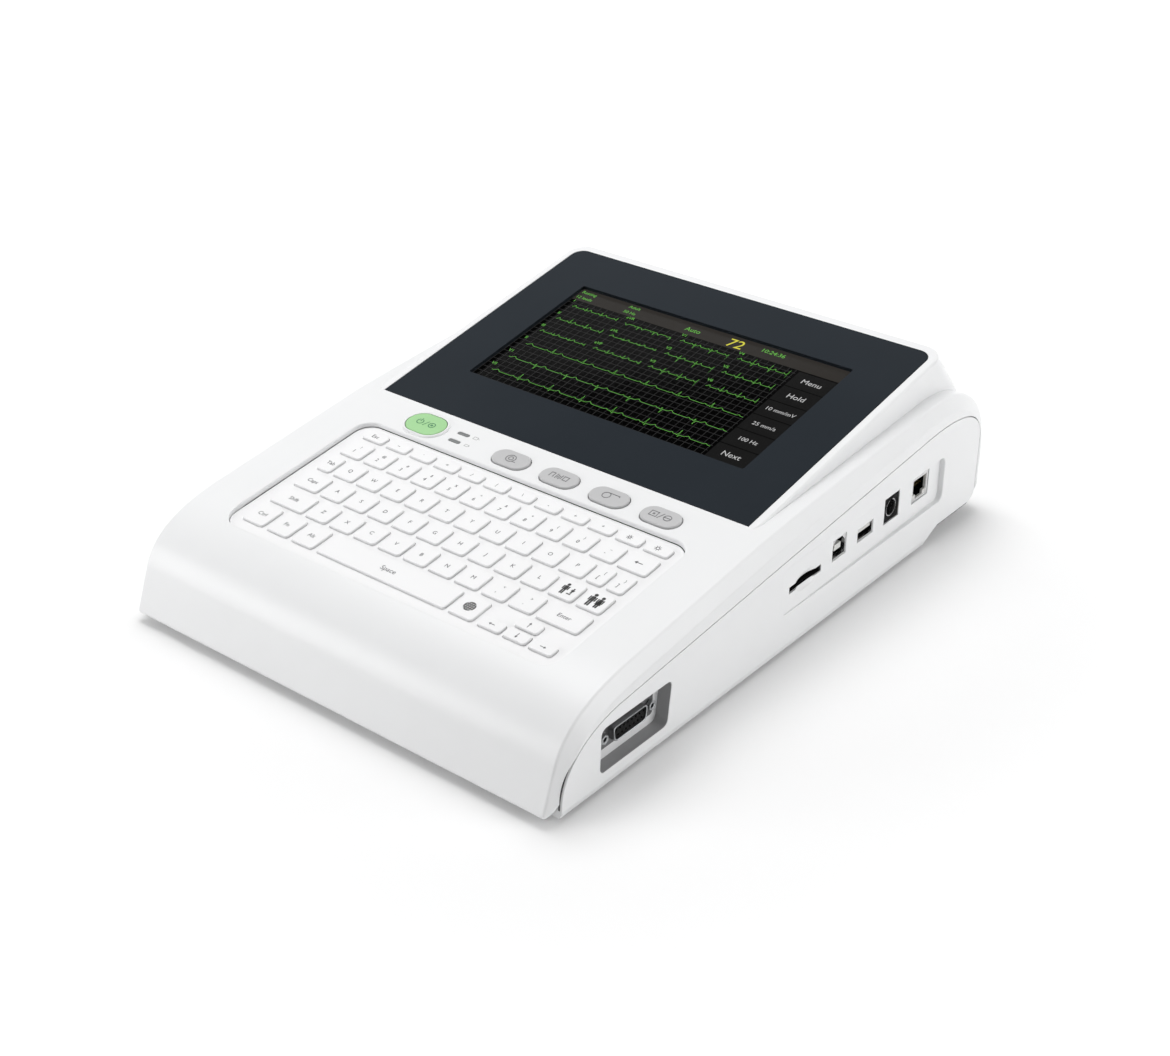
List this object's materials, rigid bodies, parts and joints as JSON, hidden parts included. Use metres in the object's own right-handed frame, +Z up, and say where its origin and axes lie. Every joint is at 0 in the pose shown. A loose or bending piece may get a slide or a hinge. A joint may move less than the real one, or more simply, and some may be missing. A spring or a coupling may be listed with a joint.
{
  "type": "portable ecg machine",
  "caption": "Wedge-shaped portable ECG machine with a raised tilted screen, a recessed rubber keyboard, oval buttons, side ports for leads and a chart recorder behind a hinged side door.",
  "frame": {"origin": "on the table, below the middle of the whole machine's bounding box", "axes": "+X to the right side with the ports, +Y from the user to the rear, +Z up"},
  "size_m": [0.2686, 0.3778, 0.1002],
  "materials": {
    "housing_white": "satin moulded ABS, light grey white",
    "key_white": "satin silicone, white",
    "lens_dark": "smooth dark acrylic",
    "lcd_black": "display face",
    "power_green": "soft green, satin",
    "button_grey": "satin grey",
    "lamp_grey": "translucent grey, unlit",
    "nickel": "nickel plated, satin",
    "insert_black": "black moulded nylon",
    "circuit_board": "solder mask",
    "shield_can": "tinned sheet",
    "battery_blue": "shrink sleeve",
    "speaker_black": "paper cone and basket",
    "foot_rubber": "black rubber",
    "frame_grey": "moulded, matt",
    "steel": "ground",
    "roller_rubber": "ground black rubber",
    "gear_grey": "acetal",
    "paper": "thermal paper roll"
  },
  "bodies": {
    "housing": {"top_housing": "housing_white", "bottom_housing": "housing_white", "screen_lens": "lens_dark", "lcd_module": "lcd_black", "keypad_membrane": "key_white", "front_panel_board": "circuit_board", "indicator_light_pipe": "lamp_grey", "ecg_connector_shell": "nickel", "ecg_connector_insert": "insert_black", "jackscrew_front": "nickel", "jackscrew_rear": "nickel", "sd_card_slot": "insert_black", "usb_b_socket": "nickel", "usb_a_socket": "nickel", "external_io_jack": "insert_black", "lan_socket": "nickel", "main_board": "circuit_board", "ecg_module": "shield_can", "power_supply_board": "circuit_board", "battery_pack": "battery_blue", "battery_cover": "housing_white", "mains_inlet": "insert_black", "grounding_post": "nickel", "speaker": "speaker_black", "foot_left_front": "foot_rubber", "foot_right_front": "foot_rubber", "foot_left_rear": "foot_rubber", "foot_right_rear": "foot_rubber", "recorder_frame": "frame_grey", "print_head": "steel", "recorder_motor": "steel"},
    "ctrl_key": {"ctrl_key": "key_white"},
    "fn_key": {"fn_key": "key_white"},
    "alt_key": {"alt_key": "key_white"},
    "space_key": {"space_key": "key_white"},
    "language_key": {"language_key": "key_white"},
    "left_key": {"left_key": "key_white"},
    "down_key": {"down_key": "key_white"},
    "up_key": {"up_key": "key_white"},
    "right_key": {"right_key": "key_white"},
    "shift_key": {"shift_key": "key_white"},
    "enter_key": {"enter_key": "key_white"},
    "caps_key": {"caps_key": "key_white"},
    "child_key": {"child_key": "key_white"},
    "adult_key": {"adult_key": "key_white"},
    "tab_key": {"tab_key": "key_white"},
    "backspace_key": {"backspace_key": "key_white"},
    "escape_key": {"escape_key": "key_white"},
    "dimmer_key": {"dimmer_key": "key_white"},
    "brighter_key": {"brighter_key": "key_white"},
    "power_button": {"power_button": "power_green"},
    "function_button_1": {"function_button_1": "button_grey"},
    "function_button_2": {"function_button_2": "button_grey"},
    "function_button_3": {"function_button_3": "button_grey"},
    "function_button_4": {"function_button_4": "button_grey"},
    "recorder_door": {"recorder_door": "housing_white"},
    "recorder_release_button": {"recorder_release_button": "button_grey"},
    "platen_roller": {"platen_roller": "roller_rubber"},
    "drive_pinion": {"drive_pinion": "gear_grey"},
    "paper_roll": {"paper_roll": "paper"}
  },
  "joints": [
    {"name": "ctrl_key_press", "type": "slide", "parent": "housing", "child": "ctrl_key", "axis": [0, 0.1366, -0.9906], "range_m": [0, 0.0012], "stiffness_N_per_m": 400, "springref_m": -0.0005},
    {"name": "fn_key_press", "type": "slide", "parent": "housing", "child": "fn_key", "axis": [0, 0.1366, -0.9906], "range_m": [0, 0.0012], "stiffness_N_per_m": 400, "springref_m": -0.0005},
    {"name": "alt_key_press", "type": "slide", "parent": "housing", "child": "alt_key", "axis": [0, 0.1366, -0.9906], "range_m": [0, 0.0012], "stiffness_N_per_m": 400, "springref_m": -0.0005},
    {"name": "space_key_press", "type": "slide", "parent": "housing", "child": "space_key", "axis": [0, 0.1366, -0.9906], "range_m": [0, 0.0012], "stiffness_N_per_m": 400, "springref_m": -0.0005},
    {"name": "language_key_press", "type": "slide", "parent": "housing", "child": "language_key", "axis": [0, 0.1366, -0.9906], "range_m": [0, 0.0012], "stiffness_N_per_m": 400, "springref_m": -0.0005},
    {"name": "left_key_press", "type": "slide", "parent": "housing", "child": "left_key", "axis": [0, 0.1366, -0.9906], "range_m": [0, 0.0012], "stiffness_N_per_m": 400, "springref_m": -0.0005},
    {"name": "down_key_press", "type": "slide", "parent": "housing", "child": "down_key", "axis": [0, 0.1366, -0.9906], "range_m": [0, 0.0012], "stiffness_N_per_m": 400, "springref_m": -0.0005},
    {"name": "up_key_press", "type": "slide", "parent": "housing", "child": "up_key", "axis": [0, 0.1366, -0.9906], "range_m": [0, 0.0012], "stiffness_N_per_m": 400, "springref_m": -0.0005},
    {"name": "right_key_press", "type": "slide", "parent": "housing", "child": "right_key", "axis": [0, 0.1366, -0.9906], "range_m": [0, 0.0012], "stiffness_N_per_m": 400, "springref_m": -0.0005},
    {"name": "shift_key_press", "type": "slide", "parent": "housing", "child": "shift_key", "axis": [0, 0.1366, -0.9906], "range_m": [0, 0.0012], "stiffness_N_per_m": 400, "springref_m": -0.0005},
    {"name": "enter_key_press", "type": "slide", "parent": "housing", "child": "enter_key", "axis": [0, 0.1366, -0.9906], "range_m": [0, 0.0012], "stiffness_N_per_m": 400, "springref_m": -0.0005},
    {"name": "caps_key_press", "type": "slide", "parent": "housing", "child": "caps_key", "axis": [0, 0.1366, -0.9906], "range_m": [0, 0.0012], "stiffness_N_per_m": 400, "springref_m": -0.0005},
    {"name": "child_key_press", "type": "slide", "parent": "housing", "child": "child_key", "axis": [0, 0.1366, -0.9906], "range_m": [0, 0.0012], "stiffness_N_per_m": 400, "springref_m": -0.0005},
    {"name": "adult_key_press", "type": "slide", "parent": "housing", "child": "adult_key", "axis": [0, 0.1366, -0.9906], "range_m": [0, 0.0012], "stiffness_N_per_m": 400, "springref_m": -0.0005},
    {"name": "tab_key_press", "type": "slide", "parent": "housing", "child": "tab_key", "axis": [0, 0.1366, -0.9906], "range_m": [0, 0.0012], "stiffness_N_per_m": 400, "springref_m": -0.0005},
    {"name": "backspace_key_press", "type": "slide", "parent": "housing", "child": "backspace_key", "axis": [0, 0.1366, -0.9906], "range_m": [0, 0.0012], "stiffness_N_per_m": 400, "springref_m": -0.0005},
    {"name": "escape_key_press", "type": "slide", "parent": "housing", "child": "escape_key", "axis": [0, 0.1366, -0.9906], "range_m": [0, 0.0012], "stiffness_N_per_m": 400, "springref_m": -0.0005},
    {"name": "dimmer_key_press", "type": "slide", "parent": "housing", "child": "dimmer_key", "axis": [0, 0.1366, -0.9906], "range_m": [0, 0.0012], "stiffness_N_per_m": 400, "springref_m": -0.0005},
    {"name": "brighter_key_press", "type": "slide", "parent": "housing", "child": "brighter_key", "axis": [0, 0.1366, -0.9906], "range_m": [0, 0.0012], "stiffness_N_per_m": 400, "springref_m": -0.0005},
    {"name": "power_button_press", "type": "slide", "parent": "housing", "child": "power_button", "axis": [0, 0.1366, -0.9906], "range_m": [0, 0.001], "stiffness_N_per_m": 500, "springref_m": -0.0005},
    {"name": "function_button_1_press", "type": "slide", "parent": "housing", "child": "function_button_1", "axis": [0, 0.1366, -0.9906], "range_m": [0, 0.001], "stiffness_N_per_m": 500, "springref_m": -0.0005},
    {"name": "function_button_2_press", "type": "slide", "parent": "housing", "child": "function_button_2", "axis": [0, 0.1366, -0.9906], "range_m": [0, 0.001], "stiffness_N_per_m": 500, "springref_m": -0.0005},
    {"name": "function_button_3_press", "type": "slide", "parent": "housing", "child": "function_button_3", "axis": [0, 0.1366, -0.9906], "range_m": [0, 0.001], "stiffness_N_per_m": 500, "springref_m": -0.0005},
    {"name": "function_button_4_press", "type": "slide", "parent": "housing", "child": "function_button_4", "axis": [0, 0.1366, -0.9906], "range_m": [0, 0.001], "stiffness_N_per_m": 500, "springref_m": -0.0005},
    {"name": "recorder_release_press", "type": "slide", "parent": "housing", "child": "recorder_release_button", "axis": [1, 0, 0], "range_m": [0, 0.0014], "stiffness_N_per_m": 500, "springref_m": -0.0005},
    {"name": "recorder_door_hinge", "type": "hinge", "parent": "housing", "child": "recorder_door", "pos_m": [-0.13145, 0.05856, 0.0135], "axis": [0, -1, 0], "range_deg": [0, 80]},
    {"name": "platen_turn", "type": "hinge", "parent": "housing", "child": "platen_roller", "pos_m": [-0.12105, 0.05756, 0.0448], "axis": [0, 1, 0], "continuous": true},
    {"name": "pinion_turn", "type": "hinge", "parent": "housing", "child": "drive_pinion", "pos_m": [-0.10834, 0.11956, 0.03804], "axis": [0, 1, 0], "continuous": true},
    {"name": "paper_roll_turn", "type": "hinge", "parent": "housing", "child": "paper_roll", "pos_m": [-0.09925, 0.05756, 0.026], "axis": [0, 1, 0], "continuous": true}
  ],
  "couplings": [
    {"joint": "pinion_turn", "follows": "platen_turn", "ratio": -2}
  ]
}
